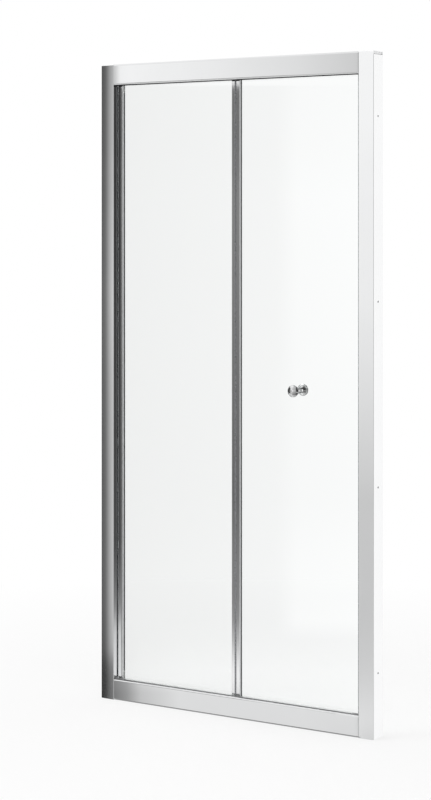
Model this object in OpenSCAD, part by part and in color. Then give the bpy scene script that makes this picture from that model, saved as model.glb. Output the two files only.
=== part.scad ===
// Bifold shower door: a fixed frame with two glass panels that fold into the shower.
// X runs along the door, +Y points into the shower, +Z is up, in millimetres.
// The origin is the middle of the frame's foot, in the plane of the glass.

/* [Frame] */
// Width of the frame from wall to wall
frame_w = 900; // [760:10:1000]
// Height of the frame
frame_h = 1850; // [1700:10:2000]
// Depth of the frame from front to back
frame_d = 56; // [52:1:64]
// Width of a jamb's face
jamb_face = 45; // [42:1:60]
// Height of the faces of the top and bottom rails
rail_h = 60; // [58:1:75]
// Wall of the frame's extrusions
frame_wall = 1.6; // [1.4:0.1:2]
// Radius of the rails' long edges
rail_round = 4.5; // [4:0.5:8]
// Radius of the jambs' edges beside the opening
jamb_round = 1; // [1:0.5:4]
// How far a jamb's face falls back towards the wall
jamb_crown = 1.5; // [1:0.5:4]
// How far the dark bead seals show past the rails' lips
bead_show = 2.5; // [1.5:0.5:4]

/* [Wall channels] */
// Wall of the channels
channel_wall = 2; // [1.5:0.1:2.5]
// Length of the channels' flanges
channel_reach = 30; // [24:1:34]
// How far the channels end below the top of the frame
channel_short = 9; // [9:1:30]
// Radius of the holes for the wall screws
wall_hole_r = 2.75; // [2.25:0.25:3.5]
// Number of wall screw holes in each channel
wall_holes = 4; // [3:1:6]
// Height of the lowest wall screw hole
wall_hole_z = 175; // [100:5:250]
// Number of screws that hold a jamb on its channel
jamb_screws = 3; // [2:1:5]
// Height of the lowest jamb screw
jamb_screw_z = 300; // [200:10:400]

/* [Tracks] */
// Height of a track's floor above the rail's outer edge
track_floor = 30; // [27:1:32]
// Height of a track's ribs
track_depth = 10; // [9:0.5:11]
// Width between a track's ribs
track_w = 18; // [17:0.5:20]
// Length of a guide shoe
shoe_l = 32; // [28:1:40]
// Number of drain slots in the bottom rail
drains = 5; // [2:1:8]

/* [Panels] */
// Thickness of the glass
glass_t = 6; // [5:0.5:6]
// How far the glass reaches into a stile
glass_bite = 9; // [8.5:0.5:12]
// Depth of the stiles from front to back
stile_d = 18; // [18:0.5:20]
// Wall of the stiles
stile_wall = 1.5; // [1.2:0.1:1.6]
// Thickness of the gaskets around the glass
gasket_t = 2.2; // [1.5:0.1:2.4]
// Gap between the left jamb and the pivot stile
side_gap = 3.5; // [3.5:0.5:6]
// Distance from the pivot to the inner edge of the pivot stile
pivot_flat = 6; // [6:0.5:10]
// Gap between the left jamb and the flange that covers the side seal
flange_gap = 2.8; // [2:0.2:4]
// Extra width of the right hinge stile
hinge_box = 1.5; // [1:0.5:6]
// Gap between the two hinge stiles
hinge_gap = 0.8; // [0.6:0.1:1.2]
// Gap between the panels' ends and the tracks' ribs
run_gap = 2; // [1.5:0.1:3]
// Height of the fittings on the panels' ends
fitting_h = 8; // [8:0.5:10]
// How far the clear seal stands off the leading edge of the glass
lead_seal = 3.5; // [2.5:0.5:4]

/* [Fold] */
// Fold angle of the pivot panel when the door is open
fold_max = 85; // [60:1:85]
// Distance from the guide pins to the right jamb
guide_inset = 8; // [7.5:0.5:10]
// How far the hinge rod's middle stands in front of the stiles
hinge_proud = 1; // [0.6:0.1:1.4]
// Radius of the hinge rod
rod_r = 2; // [1.5:0.1:2.2]
// Radius of the hinge barrels
barrel_r = 4.5; // [4:0.1:5]
// Radius of the pivot pins
pivot_r = 3.5; // [3:0.5:3.5]
// Radius of the guide pins
guide_r = 3; // [2.5:0.5:3.5]
// Travel of the sprung top pivot pin
pin_travel = 12; // [11:0.5:14]

/* [Knobs] */
// Distance from the knobs to the leading edge of the glass
knob_inset = 198; // [80:1:250]
// Height of the knobs
knob_z = 925; // [800:5:1100]
// Radius of a knob's head
knob_r = 17; // [14:0.5:20]
// Length of a knob
knob_l = 32; // [28:1:38]
// Radius of a knob's neck
knob_neck_r = 9; // [6:0.5:9.5]
// Radius of a knob's foot
knob_foot_r = 10; // [9:0.5:12]
// Radius of the knobs' hole in the glass
knob_hole_r = 5; // [4:0.5:6]

/* [Hidden] */
$fn = 48;
CROWN_FN = 360;
BIG = 100;

CHROME = [0.82, 0.84, 0.86];
STEEL = [0.62, 0.64, 0.66];
GLASS = [0.78, 0.9, 0.88, 0.4];
CLEAR_PVC = [0.9, 0.93, 0.94, 0.6];
DARK_RUBBER = [0.15, 0.15, 0.16];
GREY_RUBBER = [0.42, 0.43, 0.44];
NYLON = [0.93, 0.93, 0.9];

// Clearances: a held pin, a running pin, a slip fit, sliding faces
held_gap = 0.02;
run_fit = 0.05;
slip_gap = 0.1;
slide_gap = 0.3;

// Frame
half_d = frame_d / 2;
open_x = frame_w / 2 - jamb_face;
jamb_back = 0.5;
jamb_round_min = 0.2;
cap_t = 2;
cap_skirt = 6;
lip_y = rail_round - half_d;
bead_t = 2.5;
bead_hold = 7;
bead_foot = 1.5;
port_r = 3.8;
port_hole_r = 2.1;
port_y = 17;
port_w = track_floor - frame_wall - port_r + 0.8;
drain_l = 20;
drain_h = 4;
drain_lift = 1;

// Screws
screw_slack = 0.3;
corner_screw_r = 2;
corner_screw_l = 25;
corner_head_r = 3.8;
corner_head_h = 2.4;
jamb_screw_r = 1.9;
jamb_screw_l = 7;
jamb_head_r = 3.5;
jamb_head_h = 2;
screw_cap_t = 1;
track_screw_r = 1.6;
track_screw_l = 17;
track_head_r = 3;
track_head_h = 1.6;

// Seals of the frame
strike_t = 1.5;
strike_d = 16;
bulb_r = 3;
bulb_wall = 1;
bulb_base_t = 1.2;
bulb_base_d = 10;
side_seal_end = rail_h + bead_show + 1;

// Levels, as distances from the rail's outer edge
track_top = track_floor + track_depth;
fitting_w = track_top + run_gap;
glass_w = fitting_w + fitting_h;
barrel_mid = fitting_w + fitting_h / 2;
bracket_top = rail_h - 2;

// Axes of the pivot, the hinge and the guide
pivot_x = -open_x + side_gap + stile_d / 2;
guide_x = open_x - guide_inset;
hinge_x = (pivot_x + guide_x) / 2;
hinge_y = -stile_d / 2 - hinge_proud;
link_l = norm([hinge_x - pivot_x, hinge_y]);
link_angle = atan2(hinge_y, hinge_x - pivot_x);
guide_open_x = pivot_x + 2 * link_l * cos(fold_max + link_angle);

// Stiles, glass and gaskets
gasket_back = 1.5;
lip_t = 1.5;
gasket_half = glass_t / 2 + gasket_t;
left_hinge_w = glass_bite + gasket_back + stile_wall;
right_hinge_w = left_hinge_w + hinge_box;
groove_r = rod_r + 0.4;
stile_round = 0.8;
pivot_edge = pivot_x + pivot_flat;
left_stile_edge = hinge_x - hinge_gap / 2 - left_hinge_w;
right_stile_edge = hinge_x + hinge_gap / 2 + right_hinge_w;
left_glass_x = [pivot_edge - glass_bite, left_stile_edge + glass_bite];
right_glass_x = [right_stile_edge - glass_bite, open_x - 2.5 - lead_seal];
front_groove_w = 0.8;
front_groove_depth = 0.6;
front_groove_shift = 0.5;

// Pivot plugs, pins and spring
plug_l = 30;
plug_bore = 24;
bearing_l = 34;
bearing_round = 3;
bearing_screw_x = -open_x + bearing_l - 6;
pin_top = track_floor + 2;
top_pin_l = plug_bore;
bottom_pin_l = 36;
washer_r = 7.5;
spring_gap = 0.5;
spring_wire = 0.8;
spring_turns = 5;
spring_steps = 12;
spring_sides = 6;
pin_end = pin_top + top_pin_l;
spring_l = pin_travel + 6;
bore_end = pin_end + spring_l;
notch_end = glass_w + plug_l + 2;

// Knuckles
prong_t = 2;
prong_l = 15;
prong_end = 2;
prong_gap = 0.2;

// Guide brackets and shoes
bracket_l = 31;
bracket_wall = 2.5;
bracket_end = 3;
bracket_round = 1;
clamp_r = 2;
clamp_shift = [8, 19];
shoe_ahead = 4;
shoe_round = 3;
slit_l = 14;
slit_w = 2;
stop_l = 12;
stop_gap = 0.5;
stop_x = guide_open_x + shoe_ahead - shoe_l - stop_gap - stop_l;

// Panel seals
clip_t = 1;
clip_l = 10;
fin_t = 1.2;
fin_gap = 1;
lead_clip = 8;

// Knobs
knob_x = right_glass_x[1] - knob_inset;
knob_washer_t = 1;
knob_washer_r = knob_foot_r - 1;
stud_r = 3;
stud_in_knob = 14;
stud_room = 1;
foot_t = 2;
rim_r = 2.5;
head_at = knob_l * 0.75;
cove_from = foot_t + 4;
dome_h = knob_l - head_at - rim_r * 0.7;
dome_base_r = knob_r - rim_r * 0.3;
dome_r = arc_radius(dome_base_r, dome_h);
cove_rise = head_at - rim_r * 0.7 - cove_from;
cove_run = knob_r - rim_r - knob_neck_r;
cove_r = arc_radius(cove_rise, cove_run);

// ---------- Shared forms ----------

// Radius of an arc that falls back by drop over run
function arc_radius(run, drop) = (run ^ 2 + drop ^ 2) / (2 * drop);

// A rectangle with round corners, its lower left corner at the origin
module round_rect(size, r) {
  translate([r, 0]) square([size.x - 2 * r, size.y]);
  translate([0, r]) square([size.x, size.y - 2 * r]);
  for (x = [r, size.x - r], y = [r, size.y - r])
    translate([x, y]) circle(r);
}

// A profile drawn in X and Y, drawn out along Z
module along_z(z) {
  translate([0, 0, z[0]]) linear_extrude(z[1] - z[0]) children();
}

// A profile drawn in Y and Z, drawn out along X
module along_x(x) {
  translate([x[0], 0, 0]) rotate([90, 0, 90]) linear_extrude(x[1] - x[0]) children();
}

// A cylinder from one Y to another
module pin_y(x, z, y, r) {
  translate([x, y[1], z]) rotate([90, 0, 0]) cylinder(h = y[1] - y[0], r = r);
}

// Turns what is made for the frame's foot over to its top
module at_top() {
  translate([0, 0, frame_h]) mirror([0, 0, 1]) children();
}

module at_right() {
  mirror([1, 0, 0]) children();
}

module on_both_ends() {
  children();
  at_top() children();
}

// ---------- Frame ----------

// Heights of a row of screws between two equal end distances
function row(first, count) =
  [for (i = [0 : count - 1]) first + i * (frame_h - 2 * first) / (count - 1)];

module left_channel_solid() {
  back_y = half_d - frame_wall - slip_gap;
  front_y = jamb_crown - back_y;
  x0 = -frame_w / 2;
  difference() {
    along_z([0, frame_h - channel_short]) difference() {
      translate([x0, front_y]) square([channel_reach, back_y - front_y]);
      translate([x0 + channel_wall, front_y + channel_wall])
        square([channel_reach, back_y - front_y - 2 * channel_wall]);
    }
    for (z = row(wall_hole_z, wall_holes))
      translate([x0 - 1, 0, z]) rotate([0, 90, 0]) cylinder(h = channel_wall + 2, r = wall_hole_r);
    for (z = row(jamb_screw_z, jamb_screws))
      pin_y(jamb_screw_x(), z, [0, half_d], jamb_screw_r + held_gap);
  }
}

function jamb_screw_x() = -frame_w / 2 + channel_reach * 0.6;

// Outline of a jamb drawn in from its faces by inset, open-ended towards the wall
module jamb_outline(inset) {
  crown_from = jamb_face - jamb_round;
  crown_r = arc_radius(crown_from - jamb_back, jamb_crown);
  edge_r = max(jamb_round - inset, jamb_round_min);
  intersection() {
    translate([-2 * jamb_round, inset - half_d])
      round_rect([jamb_face - inset + 2 * jamb_round, frame_d - 2 * inset], edge_r);
    translate([crown_from, crown_r - half_d]) circle(crown_r - inset, $fn = CROWN_FN);
  }
}

module left_jamb_solid() {
  difference() {
    along_z([0, frame_h - cap_t]) translate([-frame_w / 2, 0]) difference() {
      intersection() {
        jamb_outline(0);
        translate([jamb_back, -half_d]) square([jamb_face, frame_d]);
      }
      jamb_outline(frame_wall);
    }
    on_both_ends() for (y = [-port_y, port_y])
      translate([-open_x - frame_wall - 1, y, port_w])
        rotate([0, 90, 0]) cylinder(h = frame_wall + 2, r = corner_screw_r + screw_slack);
    for (z = row(jamb_screw_z, jamb_screws))
      pin_y(jamb_screw_x(), z, [0, half_d + 1], jamb_screw_r + screw_slack);
  }
}

module left_cap_solid() {
  translate([-frame_w / 2, 0]) {
    along_z([frame_h - cap_t, frame_h]) intersection() {
      jamb_outline(0);
      translate([jamb_back, -half_d]) square([jamb_face, frame_d]);
    }
    along_z([frame_h - cap_t - cap_skirt, frame_h - cap_t]) difference() {
      intersection() {
        jamb_outline(frame_wall + slip_gap);
        translate([jamb_back + 2, -half_d]) square([jamb_face, frame_d]);
      }
      intersection() {
        jamb_outline(2 * frame_wall);
        translate([jamb_back + 2 + frame_wall, -half_d]) square([jamb_face, frame_d]);
      }
    }
  }
}

// Section of a rail: y across, w up from the outer edge
module rail_section() {
  difference() {
    union() {
      difference() {
        translate([-half_d, 0]) round_rect([frame_d, rail_h], rail_round);
        translate([frame_wall - half_d, frame_wall])
          round_rect([frame_d - 2 * frame_wall, rail_h - 2 * frame_wall], rail_round - frame_wall);
        translate([lip_y, track_top]) square([frame_d, rail_h]);
      }
      translate([frame_wall / 2 - half_d, track_floor - frame_wall])
        square([frame_d - frame_wall, frame_wall]);
      for (side = [-1, 1]) {
        translate([side * (track_w + frame_wall) / 2 - frame_wall / 2, track_floor - frame_wall])
          square([frame_wall, track_depth + frame_wall]);
        translate([side * port_y, port_w]) circle(port_r);
      }
    }
    for (side = [-1, 1]) translate([side * port_y, port_w]) circle(port_hole_r);
  }
}

module rail_solid(screw_xs) {
  difference() {
    along_x([-open_x, open_x]) rail_section();
    for (x = screw_xs)
      translate([x, 0, track_floor - frame_wall - 1]) cylinder(h = frame_wall + 2, r = track_screw_r + held_gap);
  }
}

module drain_slots() {
  pitch = 2 * open_x / drains;
  for (i = [0 : drains - 1])
    translate([-open_x + (i + 0.5) * pitch - drain_l / 2, half_d + 1, track_floor + drain_lift])
      rotate([90, 0, 0]) linear_extrude(frame_wall + 2) round_rect([drain_l, drain_h], drain_h / 2 - 0.1);
}

module bead_solid() {
  along_x([-open_x, open_x]) {
    translate([lip_y, rail_h - bead_hold]) round_rect([bead_t, bead_hold + bead_show], bead_t / 2 - 0.05);
    translate([lip_y - bead_foot, rail_h - frame_wall - 2 * bead_foot]) square([2 * bead_foot, bead_foot]);
  }
}

module left_wall_channel() {
  color(STEEL) left_channel_solid();
}

module right_wall_channel() {
  color(STEEL) at_right() left_channel_solid();
}

module left_jamb() {
  color(CHROME) left_jamb_solid();
}

module right_jamb() {
  color(CHROME) at_right() left_jamb_solid();
}

module left_jamb_cap() {
  color(STEEL) left_cap_solid();
}

module right_jamb_cap() {
  color(STEEL) at_right() left_cap_solid();
}

module bottom_rail() {
  color(CHROME) difference() {
    rail_solid([bearing_screw_x]);
    drain_slots();
  }
}

module top_rail() {
  color(CHROME) at_top() rail_solid([bearing_screw_x, stop_x + stop_l / 2]);
}

module bottom_rail_bead_seal() {
  color(DARK_RUBBER) bead_solid();
}

module top_rail_bead_seal() {
  color(DARK_RUBBER) at_top() bead_solid();
}

// Hollow bulb on the left jamb that the round nose of the pivot stile turns against
module pivot_side_seal() {
  tip_x = -open_x + side_gap - slide_gap;
  color(CLEAR_PVC) along_z([side_seal_end, frame_h - side_seal_end]) difference() {
    union() {
      translate([-open_x, -bulb_base_d / 2]) square([bulb_base_t, bulb_base_d]);
      translate([tip_x - bulb_r, 0]) circle(bulb_r);
      translate([-open_x, -bulb_r]) square([tip_x - bulb_r + open_x, 2 * bulb_r]);
    }
    translate([tip_x - bulb_r, 0]) circle(bulb_r - bulb_wall);
    translate([-open_x - BIG, -BIG / 2]) square([BIG, BIG]);
  }
}

module strike_strip() {
  color(NYLON) along_z([side_seal_end, frame_h - side_seal_end])
    translate([open_x - strike_t, -strike_d / 2]) difference() {
      square([strike_t, strike_d]);
      for (y = [0.25, 0.75]) translate([0, y * strike_d]) circle(strike_t / 3);
    }
}

// ---------- Screws of the frame ----------

module corner_screws() {
  color(STEEL) for (side = [0, 1]) mirror([side, 0, 0])
    on_both_ends() for (y = [-port_y, port_y])
      translate([-open_x - frame_wall, y, port_w]) rotate([0, 90, 0]) {
        cylinder(h = corner_screw_l, r = corner_screw_r);
        translate([0, 0, -corner_head_h]) cylinder(h = corner_head_h, r = corner_head_r);
      }
}

module at_jamb_screws() {
  for (side = [0, 1], z = row(jamb_screw_z, jamb_screws)) mirror([side, 0, 0])
    translate([jamb_screw_x(), half_d, z]) rotate([-90, 0, 0]) children();
}

module jamb_screws() {
  color(STEEL) at_jamb_screws() {
    translate([0, 0, -jamb_screw_l]) cylinder(h = jamb_screw_l, r = jamb_screw_r);
    cylinder(h = jamb_head_h, r = jamb_head_r);
  }
}

module jamb_screw_caps() {
  room_r = jamb_head_r + slip_gap;
  dome_top = jamb_head_h + 2 * screw_cap_t;
  cap_r = room_r + screw_cap_t;
  color(CHROME) at_jamb_screws() difference() {
    intersection() {
      cylinder(h = dome_top, r = cap_r);
      translate([0, 0, dome_top - 2 * cap_r]) sphere(2 * cap_r);
    }
    translate([0, 0, -1]) cylinder(h = jamb_head_h + 1, r = room_r);
  }
}

module track_screw(x) {
  translate([x, 0, track_top]) {
    translate([0, 0, -track_screw_l]) cylinder(h = track_screw_l, r = track_screw_r);
    translate([0, 0, -track_head_h])
      cylinder(h = track_head_h, r1 = track_screw_r, r2 = track_head_r);
  }
}

module track_screw_hole(x) {
  translate([x, 0, 0]) {
    cylinder(h = track_top, r = track_screw_r + held_gap);
    translate([0, 0, track_top - track_head_h])
      cylinder(h = track_head_h + held_gap, r1 = track_screw_r + held_gap, r2 = track_head_r + held_gap);
  }
}

module track_screws() {
  color(STEEL) {
    on_both_ends() track_screw(bearing_screw_x);
    at_top() track_screw(stop_x + stop_l / 2);
  }
}

// ---------- Fittings in the tracks ----------

// Nylon block that fills the track beside the left jamb and holds a pivot pin
module bearing_solid() {
  difference() {
    along_z([track_floor, track_top]) intersection() {
      translate([-open_x - bearing_round, -track_w / 2])
        round_rect([bearing_l + bearing_round, track_w], bearing_round);
      translate([-open_x, -track_w / 2]) square([bearing_l, track_w]);
    }
    translate([pivot_x, 0, track_floor - 1]) cylinder(h = track_depth + 2, r = pivot_r + run_fit);
    track_screw_hole(bearing_screw_x);
  }
}

module bottom_pivot_bearing() {
  color(NYLON) bearing_solid();
}

module top_pivot_bearing() {
  color(NYLON) at_top() bearing_solid();
}

// Block in the top track that the guide shoe meets when the door is folded
module open_stop() {
  color(DARK_RUBBER) at_top() difference() {
    along_z([track_floor, track_top]) translate([stop_x, -track_w / 2]) round_rect([stop_l, track_w], 2);
    track_screw_hole(stop_x + stop_l / 2);
  }
}

// Guide shoe that slides in a track and turns on its guide pin
module shoe_solid() {
  shoe_d = track_w - 2 * slide_gap;
  difference() {
    along_z([track_floor + slide_gap, track_top]) difference() {
      translate([guide_x + shoe_ahead - shoe_l, -shoe_d / 2]) round_rect([shoe_l, shoe_d], shoe_round);
      translate([guide_x + shoe_ahead - shoe_l - slit_w, -slit_w / 2])
        round_rect([slit_l + slit_w, slit_w], slit_w / 2 - 0.05);
    }
    translate([guide_x, 0, track_floor]) cylinder(h = track_depth + 1, r = guide_r + run_fit);
  }
}

module bottom_guide_shoe() {
  color(NYLON) shoe_solid();
}

module top_guide_shoe() {
  color(NYLON) at_top() shoe_solid();
}

// ---------- Glass and stiles ----------

module left_glass() {
  notch_x = pivot_edge - lip_t - slip_gap;
  color(GLASS) difference() {
    along_x(left_glass_x) translate([-glass_t / 2, glass_w]) square([glass_t, frame_h - 2 * glass_w]);
    on_both_ends()
      translate([left_glass_x[0] - 1, -glass_t, glass_w - 1])
        cube([notch_x - left_glass_x[0] + 1, 2 * glass_t, notch_end - glass_w + 1]);
  }
}

module right_glass() {
  color(GLASS) difference() {
    along_x(right_glass_x) translate([-glass_t / 2, glass_w]) square([glass_t, frame_h - 2 * glass_w]);
    pin_y(knob_x, knob_z, [-glass_t, glass_t], knob_hole_r);
  }
}

// Flange of the pivot stile that covers the side seal, in front of the round nose
module pivot_flange() {
  flange_x = -open_x + flange_gap;
  translate([flange_x, -stile_d / 2]) round_rect([pivot_x - flange_x, lip_t], lip_t / 2 - 0.05);
}

// Section of the pivot stile; its round nose is centred on the pivot
module pivot_outline(inset) {
  r = stile_d / 2 - inset;
  reach = pivot_flat - (inset > 0 ? lip_t + inset - stile_wall : 0);
  intersection() {
    union() {
      translate([pivot_x, 0]) circle(r);
      translate([pivot_x, -r]) square([reach, 2 * r]);
    }
    translate([pivot_x - 2 * r, -r]) round_rect([2 * r + reach, 2 * r], stile_round);
  }
}

module pivot_stile() {
  color(CHROME) along_z([glass_w, frame_h - glass_w]) difference() {
    union() {
      pivot_outline(0);
      pivot_flange();
    }
    pivot_outline(stile_wall);
    translate([pivot_edge - 2 * lip_t, -gasket_half]) square([3 * lip_t, 2 * gasket_half]);
    translate([pivot_x + front_groove_shift, -stile_d / 2 - 1]) square([front_groove_w, front_groove_depth + 1]);
  }
}

// U-shaped gasket on an edge of the glass; the glass enters from +X
module gasket_section() {
  difference() {
    translate([-gasket_back, -gasket_half]) square([gasket_back + glass_bite, 2 * gasket_half]);
    translate([0, -glass_t / 2]) square([glass_bite + 1, glass_t]);
  }
}

module pivot_stile_gasket() {
  color(GREY_RUBBER) along_z([notch_end, frame_h - notch_end])
    translate([left_glass_x[0], 0]) gasket_section();
}

// Outline of a hinge stile of width w, glass side at x = 0
module hinge_stile_outline(w) {
  translate([0, -stile_d / 2]) round_rect([w, stile_d], stile_round);
}

module hinge_stile_section(w) {
  difference() {
    hinge_stile_outline(w);
    translate([lip_t, stile_wall - stile_d / 2])
      round_rect([w - lip_t - stile_wall, stile_d - 2 * stile_wall], stile_round);
    translate([-1, -gasket_half]) square([2 * lip_t, 2 * gasket_half]);
  }
}

module at_left_stile() {
  translate([left_stile_edge, 0]) children();
}

module at_right_stile() {
  translate([right_stile_edge, 0]) mirror([1, 0]) children();
}

module rod_circle(r) {
  translate([hinge_x, hinge_y]) circle(r);
}

module left_hinge_stile() {
  color(CHROME) along_z([glass_w, frame_h - glass_w]) difference() {
    at_left_stile() hinge_stile_section(left_hinge_w);
    rod_circle(groove_r);
  }
}

module right_hinge_stile() {
  color(CHROME) along_z([glass_w, frame_h - glass_w]) difference() {
    at_right_stile() hinge_stile_section(right_hinge_w);
    rod_circle(groove_r);
  }
}

module left_hinge_gasket() {
  color(GREY_RUBBER) along_z([glass_w, frame_h - glass_w])
    translate([left_glass_x[1], 0]) mirror([1, 0]) gasket_section();
}

module right_hinge_gasket() {
  color(GREY_RUBBER) along_z([glass_w, frame_h - glass_w])
    translate([right_glass_x[0], 0]) gasket_section();
}

// ---------- Pivots ----------

// Plug in an end of the pivot stile, with a flange that closes the end
module pivot_plug_solid(bore) {
  difference() {
    union() {
      along_z([fitting_w, glass_w]) pivot_outline(0);
      along_z([glass_w, glass_w + plug_l]) pivot_outline(stile_wall + slip_gap);
    }
    translate([pivot_x, 0, fitting_w - 1]) cylinder(h = bore - fitting_w + 1, r = pivot_r + run_fit);
  }
}

module bottom_pivot_plug() {
  color(NYLON) pivot_plug_solid(pin_top + bottom_pin_l);
}

module top_pivot_plug() {
  color(NYLON) at_top() pivot_plug_solid(bore_end);
}

module bottom_pivot_pin() {
  color(STEEL) translate([pivot_x, 0, pin_top]) cylinder(h = bottom_pin_l, r = pivot_r);
}

module thrust_washer() {
  color(NYLON) translate([pivot_x, 0, track_top + slide_gap]) difference() {
    cylinder(h = run_gap - slide_gap, r = washer_r);
    translate([0, 0, -1]) cylinder(h = run_gap + 2, r = pivot_r + run_fit);
  }
}

module top_pivot_pin() {
  color(STEEL) at_top() translate([pivot_x, 0, pin_top]) {
    translate([0, 0, 1]) cylinder(h = top_pin_l - 1, r = pivot_r);
    cylinder(h = 1, r1 = pivot_r - 1, r2 = pivot_r);
  }
}

// One ring of points around the spring's wire
function spring_ring(i) = let (
  turn = 360 * i / spring_steps,
  coil_r = pivot_r - spring_gap - spring_wire / 2,
  rise = (spring_l - spring_wire) * i / (spring_turns * spring_steps)
) [
  for (j = [0 : spring_sides - 1])
    let (a = 360 * j / spring_sides + 30, r = coil_r + spring_wire / 2 * cos(a))
    [r * cos(turn), r * sin(turn), rise + spring_wire / 2 * (1 + sin(a))]
];

module pivot_spring() {
  rings = spring_turns * spring_steps;
  points = [for (i = [0 : rings]) each spring_ring(i)];
  sides = [
    for (i = [0 : rings - 1], j = [0 : spring_sides - 1])
      let (k = (j + 1) % spring_sides, a = i * spring_sides, b = a + spring_sides)
      [a + j, b + j, b + k, a + k]
  ];
  start = [for (j = [0 : spring_sides - 1]) j];
  end = [for (j = [spring_sides - 1 : -1 : 0]) rings * spring_sides + j];
  color(STEEL) translate([pivot_x, 0, frame_h - bore_end])
    polyhedron(points, [start, each sides, end], convexity = 10);
}

// ---------- Hinge ----------

module hinge_rod() {
  color(STEEL) translate([hinge_x, hinge_y, fitting_w])
    cylinder(h = frame_h - 2 * fitting_w, r = rod_r);
}

// Two prongs beside the glass that hold a knuckle in a stile of width w
module knuckle_prongs(w) {
  for (side = [0, 1]) mirror([0, side])
    translate([prong_end, gasket_half + prong_gap])
      square([w - 2 * prong_end - stile_wall, prong_t]);
}

// Knuckle on the left stile; its barrel is the outer one
module left_knuckle_solid() {
  difference() {
    union() {
      along_z([fitting_w, glass_w]) at_left_stile() hinge_stile_outline(left_hinge_w);
      along_z([glass_w, glass_w + prong_l]) at_left_stile() knuckle_prongs(left_hinge_w);
      along_z([fitting_w, barrel_mid - slide_gap / 2]) rod_circle(barrel_r);
    }
    along_z([barrel_mid - slide_gap / 2, glass_w]) rod_circle(barrel_r + slide_gap);
    along_z([fitting_w - 1, barrel_mid]) rod_circle(rod_r + held_gap);
  }
}

// Knuckle on the right stile; its barrel turns on the rod between the outer one and the stile
module right_knuckle_solid() {
  difference() {
    union() {
      along_z([fitting_w, glass_w]) at_right_stile() hinge_stile_outline(right_hinge_w);
      along_z([glass_w, glass_w + prong_l]) at_right_stile() knuckle_prongs(right_hinge_w);
      along_z([barrel_mid + slide_gap / 2, glass_w - slide_gap]) rod_circle(barrel_r);
    }
    along_z([fitting_w - 1, barrel_mid + slide_gap / 2]) rod_circle(barrel_r + slide_gap);
    along_z([barrel_mid, glass_w + 1]) rod_circle(rod_r + run_fit);
  }
}

module lower_left_knuckle() {
  color(STEEL) left_knuckle_solid();
}

module upper_left_knuckle() {
  color(STEEL) at_top() left_knuckle_solid();
}

module lower_right_knuckle() {
  color(STEEL) right_knuckle_solid();
}

module upper_right_knuckle() {
  color(STEEL) at_top() right_knuckle_solid();
}

// ---------- Panel seals ----------

// Clip on the lower edge of the glass with a fin towards the track
module wiper_solid(x) {
  clip_half = glass_t / 2 + clip_t;
  along_x(x) difference() {
    union() {
      translate([-clip_half, glass_w - clip_t]) square([2 * clip_half, clip_l + clip_t]);
      translate([-fin_t / 2, fitting_w + fin_gap]) square([fin_t, fitting_h - fin_gap]);
    }
    translate([-glass_t / 2, glass_w]) square([glass_t, clip_l + 1]);
  }
}

module left_wiper_seal() {
  color(CLEAR_PVC) wiper_solid([pivot_edge + slip_gap, left_stile_edge - slip_gap]);
}

module right_wiper_seal() {
  color(CLEAR_PVC) wiper_solid([right_stile_edge + slip_gap, bracket_x()[0] - slip_gap]);
}

// Clip on the leading edge of the glass, with a hollow bulb towards the strike strip
module leading_edge_seal() {
  clip_half = glass_t / 2 + clip_t;
  bulb = clip_half * 0.9;
  edge = right_glass_x[1];
  color(CLEAR_PVC) along_z([bracket_top + slip_gap, frame_h - bracket_top - slip_gap])
    difference() {
      union() {
        translate([edge - lead_clip, -clip_half]) square([lead_clip + clip_t, 2 * clip_half]);
        translate([edge + lead_seal - bulb, 0]) circle(bulb);
      }
      translate([edge - lead_clip - 1, -glass_t / 2]) square([lead_clip + 1, glass_t]);
      intersection() {
        translate([edge + lead_seal - bulb, 0]) circle(bulb - clip_t);
        translate([edge + clip_t, -BIG / 2]) square([BIG, BIG]);
      }
    }
}

// ---------- Guide brackets ----------

function bracket_x() =
  let (end = right_glass_x[1] + bracket_end) [end - bracket_l, end];

// Holder on a corner of the right glass that carries a guide pin
module bracket_solid() {
  half = glass_t / 2 + bracket_wall;
  difference() {
    along_x(bracket_x()) translate([-half, fitting_w])
      round_rect([2 * half, bracket_top - fitting_w], bracket_round);
    translate([bracket_x()[0] - 1, -glass_t / 2, glass_w])
      cube([bracket_l - bracket_end + 1, glass_t, rail_h]);
    translate([guide_x, 0, fitting_w - 1]) cylinder(h = fitting_h + 2, r = guide_r + held_gap);
    for (shift = clamp_shift)
      pin_y(bracket_x()[0] + shift, clamp_level(), [0, half + 1], clamp_r + held_gap);
  }
}

function clamp_level() = (glass_w + bracket_top) / 2;

module bottom_guide_bracket() {
  color(CHROME) bracket_solid();
}

module top_guide_bracket() {
  color(CHROME) at_top() bracket_solid();
}

module guide_bracket_screws() {
  color(STEEL) on_both_ends() for (shift = clamp_shift)
    pin_y(bracket_x()[0] + shift, clamp_level(), [glass_t / 2, glass_t / 2 + bracket_wall], clamp_r);
}

module guide_pin_solid() {
  translate([guide_x, 0, track_floor + 1]) cylinder(h = glass_w - track_floor - 1, r = guide_r);
}

module bottom_guide_pin() {
  color(STEEL) guide_pin_solid();
}

module top_guide_pin() {
  color(STEEL) at_top() guide_pin_solid();
}

// ---------- Knobs ----------

// Half section of a knob, its foot at y = 0
module knob_section() {
  difference() {
    union() {
      square([knob_foot_r, foot_t]);
      difference() {
        square([knob_r - rim_r, head_at]);
        translate([knob_neck_r + cove_r, cove_from]) circle(cove_r);
        translate([knob_neck_r, 0]) square([BIG, cove_from]);
      }
      translate([knob_r - rim_r, head_at]) circle(rim_r);
      square([knob_neck_r, head_at]);
      intersection() {
        translate([0, knob_l - dome_r]) circle(dome_r);
        translate([0, head_at]) square([dome_base_r, knob_l]);
      }
      translate([0, head_at - rim_r * 0.7]) square([knob_r - rim_r, rim_r]);
    }
    square([stud_r + held_gap, stud_in_knob + stud_room]);
    translate([-BIG, -BIG / 2]) square([BIG, 2 * BIG]);
  }
}

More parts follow.
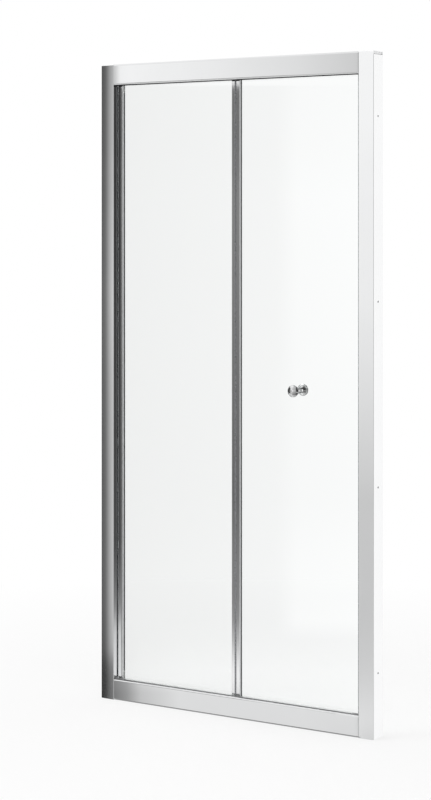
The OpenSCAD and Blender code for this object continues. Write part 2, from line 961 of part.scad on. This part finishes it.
module knob_solid() {
  translate([knob_x, -glass_t / 2 - knob_washer_t, knob_z]) rotate([90, 0, 0])
    rotate_extrude() knob_section();
}

module outer_knob() {
  color(CHROME) knob_solid();
}

module inner_knob() {
  color(CHROME) mirror([0, 1, 0]) knob_solid();
}

module knob_stud() {
  half = glass_t / 2 + knob_washer_t + stud_in_knob;
  color(STEEL) pin_y(knob_x, knob_z, [-half, half], stud_r);
}

module knob_bush() {
  color(NYLON) difference() {
    pin_y(knob_x, knob_z, [-glass_t / 2, glass_t / 2], knob_hole_r - held_gap);
    pin_y(knob_x, knob_z, [-glass_t, glass_t], stud_r + held_gap);
  }
}

module knob_washers() {
  color(CLEAR_PVC) for (side = [0, 1]) mirror([0, side, 0]) difference() {
    pin_y(knob_x, knob_z, [glass_t / 2, glass_t / 2 + knob_washer_t], knob_washer_r);
    pin_y(knob_x, knob_z, [0, glass_t], stud_r + held_gap);
  }
}

left_wall_channel();
right_wall_channel();
left_jamb();
right_jamb();
left_jamb_cap();
right_jamb_cap();
top_rail();
bottom_rail();
top_rail_bead_seal();
bottom_rail_bead_seal();
pivot_side_seal();
strike_strip();
corner_screws();
jamb_screws();
jamb_screw_caps();
top_pivot_bearing();
bottom_pivot_bearing();
open_stop();
track_screws();
left_glass();
pivot_stile();
pivot_stile_gasket();
left_hinge_stile();
left_hinge_gasket();
top_pivot_plug();
bottom_pivot_plug();
bottom_pivot_pin();
thrust_washer();
hinge_rod();
upper_left_knuckle();
lower_left_knuckle();
left_wiper_seal();
top_pivot_pin();
pivot_spring();
right_glass();
right_hinge_stile();
right_hinge_gasket();
upper_right_knuckle();
lower_right_knuckle();
leading_edge_seal();
right_wiper_seal();
outer_knob();
inner_knob();
knob_stud();
knob_bush();
knob_washers();
top_guide_bracket();
bottom_guide_bracket();
guide_bracket_screws();
top_guide_pin();
bottom_guide_pin();
top_guide_shoe();
bottom_guide_shoe();
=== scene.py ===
"""Looks of the bifold shower door: materials, studio, floor and camera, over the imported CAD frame."""

import math

import bpy
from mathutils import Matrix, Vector


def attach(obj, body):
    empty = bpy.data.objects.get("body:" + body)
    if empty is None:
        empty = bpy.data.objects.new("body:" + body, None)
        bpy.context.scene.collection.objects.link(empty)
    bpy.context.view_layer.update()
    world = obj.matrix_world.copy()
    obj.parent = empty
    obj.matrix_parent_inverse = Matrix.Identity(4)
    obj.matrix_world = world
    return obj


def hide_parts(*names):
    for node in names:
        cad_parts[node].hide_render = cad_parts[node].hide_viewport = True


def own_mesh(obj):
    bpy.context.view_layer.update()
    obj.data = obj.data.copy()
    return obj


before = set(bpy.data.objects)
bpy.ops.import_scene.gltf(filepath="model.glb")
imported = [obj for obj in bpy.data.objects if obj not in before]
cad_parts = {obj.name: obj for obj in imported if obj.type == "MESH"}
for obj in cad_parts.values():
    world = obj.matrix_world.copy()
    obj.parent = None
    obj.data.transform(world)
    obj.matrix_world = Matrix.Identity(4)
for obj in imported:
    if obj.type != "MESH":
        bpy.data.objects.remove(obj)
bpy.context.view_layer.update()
scene = bpy.context.scene

# ---------------------------------------------------------------- node helpers

WHITE = (1.0, 1.0, 1.0, 1.0)
EVEN = (1.0, 1.0, 1.0)
# Most of a noise's values lie between these two
NOISE_LOW, NOISE_HIGH = 0.3, 0.7
# The colour sockets of a Mix node, which shares its sockets' names with other kinds of value
MIX_SHARE, MIX_A, MIX_B, MIX_RESULT = 0, 6, 7, 2


def new_material(name):
    """An empty node material, its node tree and the socket for its surface."""
    mat = bpy.data.materials.new(name)
    mat.use_nodes = True
    tree = mat.node_tree
    tree.nodes.clear()
    return mat, tree, tree.nodes.new("ShaderNodeOutputMaterial").inputs["Surface"]


def add(tree, kind, **settings):
    """A node of that kind. Plain names set its properties, and in_NAME sets an input's value."""
    node = tree.nodes.new("ShaderNode" + kind)
    for key, value in settings.items():
        if key.startswith("in_"):
            node.inputs[key[3:].replace("_", " ")].default_value = value
        else:
            setattr(node, key, value)
    return node


def feed(tree, value, socket):
    """Links a node's output to the input socket, or sets the socket to a plain value."""
    if isinstance(value, bpy.types.NodeSocket):
        tree.links.new(value, socket)
    else:
        socket.default_value = value


def math_node(tree, operation, *terms):
    """The result of a Math node. Its terms are sockets or numbers."""
    node = add(tree, "Math", operation=operation)
    for term, socket in zip(terms, node.inputs):
        feed(tree, term, socket)
    return node.outputs[0]


def mix_colour(tree, kind, share, a, b):
    """Colour a with share of b blended in, each a socket or a value."""
    node = add(tree, "Mix", data_type="RGBA", blend_type=kind)
    feed(tree, share, node.inputs[MIX_SHARE])
    feed(tree, a, node.inputs[MIX_A])
    feed(tree, b, node.inputs[MIX_B])
    return node.outputs[MIX_RESULT]


def mix_shader(tree, share, a, b):
    """Shader a where share is 0, and b where it is 1."""
    node = add(tree, "MixShader")
    for value, socket in zip((share, a, b), node.inputs):
        feed(tree, value, socket)
    return node.outputs[0]


def ramp(tree, place, stops):
    """A colour ramp of (position, grey or colour) stops over the socket place."""
    node = add(tree, "ValToRGB")
    elements = node.color_ramp.elements
    elements.remove(elements[1])
    elements[0].position = stops[0][0]
    for i, (position, tone) in enumerate(stops):
        element = elements.new(position) if i else elements[0]
        rgb = (tone,) * 3 if isinstance(tone, (int, float)) else tone
        element.color = (*rgb, 1)
    feed(tree, place, node.inputs[0])
    return node.outputs["Color"]


def axes(tree, vector):
    """The x, y and z of the socket vector."""
    node = add(tree, "SeparateXYZ")
    feed(tree, vector, node.inputs[0])
    return node.outputs


def noise(tree, scale, detail, roughness, stretch=EVEN):
    """Noise over the object's own coordinates, which are multiplied by stretch first."""
    coords = add(tree, "TexCoord")
    mapping = add(tree, "Mapping", in_Scale=stretch)
    feed(tree, coords.outputs["Object"], mapping.inputs["Vector"])
    texture = add(tree, "TexNoise", in_Scale=scale, in_Detail=detail, in_Roughness=roughness)
    feed(tree, mapping.outputs[0], texture.inputs["Vector"])
    return texture.outputs["Fac"]


def map_range(tree, value, low, high, from_low=NOISE_LOW, from_high=NOISE_HIGH):
    """The socket value, carried from its own range to the range from low to high."""
    node = add(tree, "MapRange", clamp=True, in_From_Min=from_low, in_From_Max=from_high,
               in_To_Min=low, in_To_Max=high)
    feed(tree, value, node.inputs["Value"])
    return node.outputs["Result"]


def bump(tree, height, distance):
    """A normal that follows the socket height, at full strength, up to distance in metres."""
    node = add(tree, "Bump", in_Strength=1.0, in_Distance=distance)
    feed(tree, height, node.inputs["Height"])
    return node.outputs["Normal"]


def principled(tree, colour, rough, normal, **settings):
    """A Principled shader with sockets for its colour, roughness and normal."""
    node = add(tree, "BsdfPrincipled", **settings)
    feed(tree, colour, node.inputs["Base Color"])
    feed(tree, rough, node.inputs["Roughness"])
    feed(tree, normal, node.inputs["Normal"])
    return node.outputs[0]


# ---------------------------------------------------------------- materials

# Stretches of the noise that draw fine lines along an extrusion, or a fine grain on turned and pressed parts
ALONG_Z = (900.0, 900.0, 6.0)
ALONG_X = (6.0, 900.0, 900.0)
ALL_ROUND = (300.0, 300.0, 300.0)
# How much of a metal's wear comes from its lines and from its clouds
LINES_SHARE, CLOUDS_SHARE = 0.6, 0.4
# A plastic's darkest tone beside its colour, and how far its roughness goes up and down
PLASTIC_LOW = 0.93
PLASTIC_WANDER = 0.05
# A face counts as turned to the panels, where plastic can get painted light, when its normal's Y is above
# this
TURNED_BACK = 0.3
# X near the panels' outer edges in metres, how far clear materials get from their painted shade on the left
# towards their second, lighter tone between them, and how far clouds change that tone and the roughness
PANELS_LEFT, PANELS_RIGHT = -0.4, 0.4
PAINTED_SHADE_REACH = 0.98
CLEAR_DRIFT = 0.02
CLEAR_WANDER = 0.01


def metal(name, colour, rough, grain, grain_depth, wander, cloud=0.012):
    """Metal with fine lines along its grain. Its tone changes by cloud, and its roughness by wander."""
    mat, tree, surface = new_material(name)
    lines = noise(tree, scale=1.0, detail=4.0, roughness=0.7, stretch=grain)
    clouds = noise(tree, scale=7.0, detail=3.0, roughness=0.5)
    tone = map_range(tree, clouds, 1 - cloud, 1 + cloud)
    wear = math_node(tree, "ADD", math_node(tree, "MULTIPLY", lines, LINES_SHARE),
                     math_node(tree, "MULTIPLY", clouds, CLOUDS_SHARE))
    shader = principled(tree, mix_colour(tree, "MULTIPLY", 1.0, (*colour, 1), tone),
                        map_range(tree, wear, rough - wander, rough + wander),
                        bump(tree, lines, grain_depth), in_Metallic=1.0)
    feed(tree, shader, surface)
    return mat


def plastic(name, colour, rough, grain_depth=0.00002, grain_scale=1400.0, specular=0.5, alpha=1.0,
            painted_light_back=None):
    """Moulded plastic or rubber with a fine skin and slight clouds of tone.

    With alpha it is thin and clear, and painted_light_back is painted light: a pale colour on its faces that
    are turned to the panels, which lie in shade.
    """
    mat, tree, surface = new_material(name)
    clouds = noise(tree, scale=18.0, detail=3.0, roughness=0.5)
    skin = noise(tree, scale=grain_scale, detail=2.0, roughness=0.5)
    low = tuple(PLASTIC_LOW * c for c in colour)
    tone = ramp(tree, clouds, [(NOISE_LOW, low), (NOISE_HIGH, colour)])
    # Painted light: faces turned to the panels, in shade in the gap, take a pale colour
    if painted_light_back:
        normal = axes(tree, add(tree, "NewGeometry").outputs["True Normal"])
        turned = math_node(tree, "GREATER_THAN", normal["Y"], TURNED_BACK)
        tone = mix_colour(tree, "MIX", turned, tone, (*painted_light_back, 1))
    shader = principled(tree, tone, map_range(tree, clouds, rough - PLASTIC_WANDER, rough + PLASTIC_WANDER),
                        bump(tree, skin, grain_depth), in_Specular_IOR_Level=specular, in_Alpha=alpha)
    feed(tree, shader, surface)
    return mat


def clear(name, colour, rough, ior, wave_depth, shade, film=0.0, unshaded=None):
    """Glass or clear plastic. With unshaded, painted shade makes it darker, in colour's tone, on the left,
    and it gets lighter, in unshaded's tone, towards the right.

    Lamps shine through it in the tone shade, and film adds a haze.
    """
    mat, tree, surface = new_material(name)
    clouds = noise(tree, scale=2.5, detail=2.0, roughness=0.4)
    place = axes(tree, add(tree, "TexCoord").outputs["Object"])
    across = map_range(tree, place["X"], 0.0, PAINTED_SHADE_REACH, PANELS_LEFT, PANELS_RIGHT)
    drift = math_node(tree, "MULTIPLY", clouds, CLEAR_DRIFT)
    # Painted shade: darker on the left, lighter towards the right
    tone = ramp(tree, math_node(tree, "ADD", across, drift), [(0.0, colour), (1.0, unshaded or colour)])
    shader = principled(tree, tone, map_range(tree, clouds, rough, rough + CLEAR_WANDER),
                        bump(tree, clouds, wave_depth), in_IOR=ior, in_Transmission_Weight=1.0 - film)
    passing = add(tree, "BsdfTransparent", in_Color=(*shade, 1))
    path = add(tree, "LightPath")
    feed(tree, mix_shader(tree, path.outputs["Is Shadow Ray"], shader, passing.outputs[0]), surface)
    return mat


BRIGHT = (0.90, 0.905, 0.91)
RUBBER = {"rough": 0.62, "grain_depth": 0.00003, "grain_scale": 1800.0, "specular": 0.35}
MATERIALS = {
    "jamb": metal("jamb_aluminium", BRIGHT, rough=0.05, grain=ALONG_Z, grain_depth=0.0000005, wander=0.02),
    "rail": metal("rail_aluminium", BRIGHT, rough=0.015, grain=ALONG_X, grain_depth=0.0000003, wander=0.008),
    "stile": metal("stile_aluminium", BRIGHT, rough=0.03, grain=ALONG_Z, grain_depth=0.0000005, wander=0.01),
    "mill": metal("mill_aluminium", (0.95, 0.953, 0.957), rough=0.13, grain=ALONG_Z, grain_depth=0.000002,
                  wander=0.03, cloud=0.015),
    "cap": plastic("end_cap_plastic", (0.93, 0.935, 0.94), rough=0.42),
    "chrome": metal("chrome", (0.88, 0.885, 0.89), rough=0.05, grain=ALL_ROUND, grain_depth=0.0000005,
                    wander=0.02, cloud=0.01),
    "glass": clear("clear_glass_painted_shade", (0.925, 0.935, 0.93), rough=0.0, ior=1.5, wave_depth=0.00001,
                   shade=(0.93, 0.95, 0.945), unshaded=(0.99, 1.0, 0.997)),
    "pvc": clear("clear_pvc", (0.94, 0.955, 0.96), rough=0.12, ior=1.45, wave_depth=0.00002,
                 shade=(0.85, 0.87, 0.88), film=0.12),
    "wiper": plastic("clear_wiper_vinyl", (0.90, 0.92, 0.92), rough=0.1, grain_depth=0.00001, alpha=0.12),
    "rubber": plastic("dark_rubber", (0.045, 0.045, 0.05), **RUBBER),
    # The two bead seals are one rubber in a shaded and a lit copy: painted shade makes the upper one darker,
    # painted light makes the lower one paler, and its faces towards the panels get painted light in pale
    # grey
    "upper bead painted shade": plastic("upper_bead_rubber_painted_shade", (0.02, 0.02, 0.022), **RUBBER),
    "lower bead painted light": plastic("lower_bead_rubber_painted_light", (0.2, 0.2, 0.205), painted_light_back=(0.93, 0.93, 0.93), **RUBBER),
    "gasket": plastic("grey_gasket", (0.17, 0.175, 0.18), rough=0.55, grain_scale=1800.0, specular=0.4),
    "nylon": plastic("nylon", (0.80, 0.80, 0.78), rough=0.45, grain_depth=0.00001),
    "steel": metal("satin_steel", (0.60, 0.61, 0.63), rough=0.28, grain=ALL_ROUND, grain_depth=0.000004,
                   wander=0.05, cloud=0.03),
}

LOOKS = {
    "jamb": ["left_jamb", "right_jamb"],
    "rail": ["top_rail", "bottom_rail"],
    "stile": ["pivot_stile", "left_hinge_stile", "right_hinge_stile"],
    "mill": ["left_wall_channel", "right_wall_channel"],
    "cap": ["left_jamb_cap", "right_jamb_cap"],
    "chrome": ["outer_knob", "inner_knob", "jamb_screw_caps", "top_guide_bracket", "bottom_guide_bracket"],
    "glass": ["left_glass", "right_glass"],
    "pvc": ["pivot_side_seal", "leading_edge_seal", "knob_washers"],
    "wiper": ["left_wiper_seal", "right_wiper_seal"],
    "rubber": ["open_stop"],
    "upper bead painted shade": ["top_rail_bead_seal"],
    "lower bead painted light": ["bottom_rail_bead_seal"],
    "gasket": ["pivot_stile_gasket", "left_hinge_gasket", "right_hinge_gasket"],
    "nylon": ["strike_strip", "top_pivot_bearing", "bottom_pivot_bearing", "top_pivot_plug",
              "bottom_pivot_plug", "thrust_washer", "knob_bush", "top_guide_shoe", "bottom_guide_shoe"],
    "steel": ["corner_screws", "jamb_screws", "track_screws", "bottom_pivot_pin", "top_pivot_pin",
              "pivot_spring", "hinge_rod", "upper_left_knuckle", "lower_left_knuckle", "upper_right_knuckle",
              "lower_right_knuckle", "knob_stud", "guide_bracket_screws", "top_guide_pin",
              "bottom_guide_pin"],
}
look_of = {node: look for look, nodes in LOOKS.items() for node in nodes}
for node_name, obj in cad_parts.items():
    obj.data.materials.clear()
    obj.data.materials.append(MATERIALS[look_of[node_name]])

# The top pivot's spring is the same coil as in the CAD, as a copy with its own mesh on the pivot panel
coil = bpy.data.objects.new("coiled_spring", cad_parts["pivot_spring"].data.copy())
scene.collection.objects.link(coil)
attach(coil, "pivot_panel")
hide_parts("pivot_spring")
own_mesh(coil)

# ---------------------------------------------------------------- studio

# A ray whose Glossy Depth is above this has met a mirror
MIRRORED = 0.5
# Strength of the plain grey light from all sides that matt surfaces get
PLAIN_LIGHT = 0.75

# The studio that metal mirrors is a sum of patches. Each is a ramp around the compass times a ramp upward,
# with stops of (degrees, tone). Around, 0 is straight in front of the door and it grows to the left.
# Upward, 0 is the horizon.
LEFT_SIDE = ((44.2, 0), (46, 1.0), (116, 1.0), (124, 0))
RIGHT_SIDE = ((-140, 0), (-134, 1.0), (-34, 1.0), (-26, 0))
BACK_LEFT = ((116, 0), (124, 1.0), (180, 1.0))
BACK_RIGHT = ((-180, 1.0), (-140, 1.0), (-134, 0))
ALL_SIDES = ((-180, 1.0), (180, 1.0))
STUDIO = [
    # Left of the light, where the left jamb mirrors the studio getting darker
    (((35.66, 0), (35.7, 1.0), (36.3, 0.88), (37, 0.69), (38.4, 0.46), (39.8, 0.305), (41.2, 0.185),
      (42.6, 0.12), (44.2, 0.06), (44.3, 0)),
     ((-14.8, 0), (-13.8, 0.28), (-12.4, 0.30), (-12.2, 0.42), (-11.95, 0.76), (-10.5, 0.85), (-5, 0.88),
      (-2, 1.0), (2.3, 0.8), (3.7, 0.75), (7, 0.7), (11, 0))),
    # A grey strip beside it, and farther left the dark
    (((44.3, 0), (45, 0.5), (58, 0.5), (60, 0)),
     ((-50, 0), (-40, 1.0), (20, 1.0), (28, 0))),
    (((59, 0), (60, 0.06), (95, 0.06), (118, 0.10), (122, 0)),
     ((-24, 0), (-18, 0.6), (-13.8, 0.6), (-12, 0.9), (11, 0.9), (20, 0.6), (28, 0))),
    # The light's left part above the door, which the top rail mirrors
    (((28.6, 0), (28.66, 0.67), (30.3, 0.78), (32.6, 0.9), (35.2, 0.98), (35.5, 0.96), (35.66, 0.6),
      (35.7, 0)),
     ((4.1, 0), (4.18, 1), (7, 1), (11, 0))),
    # The dark gap in the light that the stiles mirror
    (((28.6, 0), (28.66, 1), (30.4, 1), (31.0, 0.30), (34.6, 0.30), (35.66, 0.26), (35.7, 0)),
     ((-11.66, 0), (-11.1, 1), (-10.5, 0.8), (-9.2, 0.7), (-7.7, 0.48), (-4.9, 0.57), (-2, 0.7),
      (0.9, 0.8), (2.4, 0.62), (4.1, 0.57), (4.18, 0))),
    # The bright floor in front, which the bottom rail mirrors
    (((28.6, 0), (28.66, 1), (33.8, 1), (34.9, 0.75), (35.3, 0.42), (35.66, 0.27), (35.7, 0)),
     ((-14.8, 0), (-13.8, 0.78), (-13.1, 0.80), (-12.8, 0.93), (-12.5, 0.92), (-12.2, 0.78),
      (-11.9, 0.63), (-11.66, 0.5), (-11.1, 0))),
    # The light itself with the floor under it, which the right jamb mirrors
    (((-36, 0), (-32, 0.12), (-24, 0.5), (-8, 0.6), (4, 0.68), (14, 0.8), (20, 1.0), (28.6, 1.0),
      (28.66, 0)),
     ((-14.8, 0), (-13.8, 0.82), (-13.4, 0.76), (-12, 0.64), (-10.7, 0.61), (-7.8, 0.63), (-5, 0.78),
      (-2, 0.92), (1, 0.94), (3.7, 1.0), (7, 1.0), (11, 0))),
    # Right of the light, dark above the near floor
    (RIGHT_SIDE,
     ((-14.8, 0), (-13.8, 0.95), (-12, 0.78), (-11.4, 0.72), (-10.8, 0.28), (-10.3, 0.18), (-9, 0.07),
      (0, 0.035), (7, 0.04), (58, 0.04), (64, 0))),
    # The white backdrop behind, on the right and on the left
    (((-180, 0.1), (-163, 0.1), (-159, 1.0), (-139, 1.0), (-136, 0.1), (-134, 0)),
     ((-24, 0), (-18, 1.0), (15, 1.0), (20, 0))),
    (BACK_LEFT, ((-14.8, 0), (-13.8, 1.0), (7, 1.0), (11, 0))),
    # The floor and the ceiling in front
    (((-36, 0), (-32, 0.1), (-24, 0.45), (10, 0.6), (25, 0.7), (32, 0.9), (44.2, 0.9), (46, 0)),
     ((-64, 0), (-58, 0.75), (-52, 0.75), (-47, 0.35), (-41, 0.35), (-36, 0.6), (-20, 0.6),
      (-14.8, 0.9), (-13.8, 0))),
    (((-36, 0), (-32, 0.1), (-24, 0.5), (10, 0.65), (25, 0.8), (32, 1.0), (44.2, 1.0), (46, 0)),
     ((7, 0), (11, 0.85), (40, 0.85), (52, 0.95), (58, 0.95), (64, 0))),
    # The floor on the left, a light patch above it, and the ceiling there
    (LEFT_SIDE, ((-64, 0), (-58, 0.8), (-50, 0.6), (-40, 0.6), (-36, 0))),
    (((59, 0), (66, 0.8), (116, 0.8), (124, 0)), ((-40, 0), (-36, 1.0), (-24, 1.0), (-18, 0))),
    (LEFT_SIDE, ((20, 0), (28, 0.7), (40, 0.95), (58, 0.95), (64, 0))),
    # The floor on the right
    (RIGHT_SIDE, ((-64, 0), (-58, 0.6), (-50, 0.1), (-18, 0.1), (-16, 0.9), (-14.8, 0.9), (-13.8, 0))),
    # Floor and ceiling behind, on the right and on the left
    (BACK_RIGHT, ((-64, 0), (-58, 0.6), (-50, 0.25), (-24, 0.25), (-18, 0))),
    (BACK_RIGHT, ((15, 0), (20, 0.05), (58, 0.05), (64, 0))),
    (BACK_LEFT, ((-64, 0), (-58, 0.9), (-14.8, 0.9), (-13.8, 0))),
    (BACK_LEFT, ((7, 0), (11, 0.6), (35, 0.6), (45, 0.95), (58, 0.95), (64, 0))),
    # Straight below and straight above
    (ALL_SIDES, ((-90, 0.5), (-64, 0.5), (-58, 0))),
    (ALL_SIDES, ((58, 0), (64, 0.35), (90, 0.35))),
]


def make_world():
    """White for the camera and through the glass, plain grey light, and a studio that the metal mirrors."""
    world = bpy.data.worlds.new("studio")
    scene.world = world
    world.use_nodes = True
    tree = world.node_tree
    tree.nodes.clear()

    def degrees(radians):
        return math_node(tree, "MULTIPLY", radians, 180 / math.pi)

    def span(angle, stops):
        """Ramp that runs over its own stops alone, so that close stops stay sharp."""
        low, high = stops[0][0], stops[-1][0]
        share = map_range(tree, angle, 0.0, 1.0, low, high)
        return ramp(tree, share, [((at - low) / (high - low), tone) for at, tone in stops])

    dx, dy, dz = axes(tree, add(tree, "TexCoord").outputs["Generated"])
    azimuth = degrees(math_node(tree, "ARCTAN2", math_node(tree, "MULTIPLY", dx, -1.0),
                                math_node(tree, "MULTIPLY", dy, -1.0)))
    elevation = degrees(math_node(tree, "ARCSINE", dz))
    whole = None
    for around, upward in STUDIO:
        patch = mix_colour(tree, "MULTIPLY", 1.0, span(azimuth, around), span(elevation, upward))
        whole = patch if whole is None else mix_colour(tree, "ADD", 1.0, whole, patch)

    mirrored = add(tree, "Background", in_Strength=1.0)
    feed(tree, whole, mirrored.inputs["Color"])
    plain = add(tree, "Background", in_Color=WHITE, in_Strength=PLAIN_LIGHT)
    white = add(tree, "Background", in_Color=WHITE, in_Strength=1.0)
    path = add(tree, "LightPath").outputs
    straight = math_node(tree, "LESS_THAN", path["Glossy Depth"], MIRRORED)
    through = math_node(tree, "MULTIPLY", path["Is Transmission Ray"], straight)
    seen = math_node(tree, "MAXIMUM", path["Is Camera Ray"], through)
    light = mix_shader(tree, path["Is Glossy Ray"], plain.outputs[0], mirrored.outputs[0])
    whole_world = mix_shader(tree, seen, light, white.outputs[0])
    feed(tree, whole_world, add(tree, "OutputWorld").inputs["Surface"])


# All in metres: half the floor's side, the distances from the origin over which it runs out to white, and
# the distances over which the painted shadow strip under the bottom rail, which only the metal shows, fades,
# in Y and in X
FLOOR_HALF = 15.0
SHADOW_FROM, SHADOW_TO = 0.8, 2.2
PAINTED_SHADOW_Y = (0.036, 0.044)
PAINTED_SHADOW_X = (0.402, 0.408)
# How much plain white the floor has near the door, the tones of its grain, and the light of the painted
# shadow strip
NEAR_WHITE = 0.75
FLOOR_TONES = (0.93, 0.95)
PAINTED_SHADOW_LIGHT = 0.3


def make_floor():
    """Pale floor that keeps the soft shadow near the door and runs out to white.

    In the metal it shows only as a painted shadow, a dim strip under the rail, and the studio takes its
    place.
    """
    mat, tree, surface = new_material("pale_floor")
    coords = add(tree, "TexCoord").outputs["Object"]
    length = add(tree, "VectorMath", operation="LENGTH")
    feed(tree, coords, length.inputs[0])
    far = map_range(tree, length.outputs["Value"], NEAR_WHITE, 1.0, SHADOW_FROM, SHADOW_TO)
    low, high = FLOOR_TONES
    matt = add(tree, "BsdfPrincipled", in_Roughness=0.9, in_Specular_IOR_Level=0.1)
    grain = noise(tree, scale=60.0, detail=4.0, roughness=0.6)
    tone = ramp(tree, grain, [(NOISE_LOW, low), (NOISE_HIGH, high)])
    feed(tree, tone, matt.inputs["Base Color"])
    white = add(tree, "Emission", in_Color=WHITE, in_Strength=1.0)
    ground = mix_shader(tree, far, matt.outputs[0], white.outputs[0])

    place = axes(tree, coords)
    off_rail = map_range(tree, math_node(tree, "ABSOLUTE", place["Y"]), 0.0, 1.0, *PAINTED_SHADOW_Y)
    past_rail = map_range(tree, math_node(tree, "ABSOLUTE", place["X"]), 0.0, 1.0, *PAINTED_SHADOW_X)
    outside = math_node(tree, "MAXIMUM", off_rail, past_rail)
    # Painted shadow: a dim emitting strip under the bottom rail, seen only in the metal
    painted_shadow_strip = add(tree, "Emission", in_Color=WHITE, in_Strength=PAINTED_SHADOW_LIGHT)
    passing = add(tree, "BsdfTransparent")
    in_metal = mix_shader(tree, outside, painted_shadow_strip.outputs[0], passing.outputs[0])
    mirrored = math_node(tree, "GREATER_THAN", add(tree, "LightPath").outputs["Glossy Depth"], MIRRORED)
    feed(tree, mix_shader(tree, mirrored, ground, in_metal), surface)

    half = FLOOR_HALF
    corners = [(-half, -half, 0), (half, -half, 0), (half, half, 0), (-half, half, 0)]
    mesh = bpy.data.meshes.new("floor")
    mesh.from_pydata(corners, [], [(0, 1, 2, 3)])
    mesh.materials.append(mat)
    obj = bpy.data.objects.new("floor", mesh)
    scene.collection.objects.link(obj)


# Each lamp's name, place and aim and the side of its square in metres, and its watts
LAMPS = [
    ("key_lamp", (-2.2, -2.6, 3.4), (0, 0, 0.8), 1.8, 45),
    ("fill_lamp", (2.6, -2.4, 2.8), (0, 0, 0.9), 1.6, 18),
]


def make_lamp(name, place, aim, side, watts):
    """A soft square lamp that neither the camera nor the metal sees."""
    data = bpy.data.lights.new(name, "AREA")
    data.shape = "RECTANGLE"
    data.size = data.size_y = side
    data.energy = watts
    obj = bpy.data.objects.new(name, data)
    scene.collection.objects.link(obj)
    obj.location = place
    obj.rotation_mode = "QUATERNION"
    obj.rotation_quaternion = (Vector(aim) - Vector(place)).to_track_quat("-Z", "Y")
    obj.visible_camera = False
    obj.visible_glossy = False


make_world()
make_floor()
for lamp in LAMPS:
    make_lamp(*lamp)

# ---------------------------------------------------------------- camera

# The camera's place in metres, its turn in degrees, and its lens and sensor in millimetres. It is level, and
# its shift moves the door to its height in the picture.
CAMERA_PLACE = (2.979, -4.741, 1.369)
CAMERA_TURN = 32.75
LENS = 89.51
SENSOR_WIDTH = 36
SHIFT_Y = -0.2129
CLIP_NEAR, CLIP_FAR = 0.1, 100

camera_data = bpy.data.cameras.new("camera")
camera = bpy.data.objects.new("camera", camera_data)
scene.collection.objects.link(camera)
camera.location = CAMERA_PLACE
camera.rotation_euler = (math.radians(90), 0, math.radians(CAMERA_TURN))
camera_data.sensor_width = SENSOR_WIDTH
camera_data.lens = LENS
camera_data.shift_y = SHIFT_Y
camera_data.clip_start = CLIP_NEAR
camera_data.clip_end = CLIP_FAR
scene.camera = camera
scene.view_settings.view_transform = "Standard"
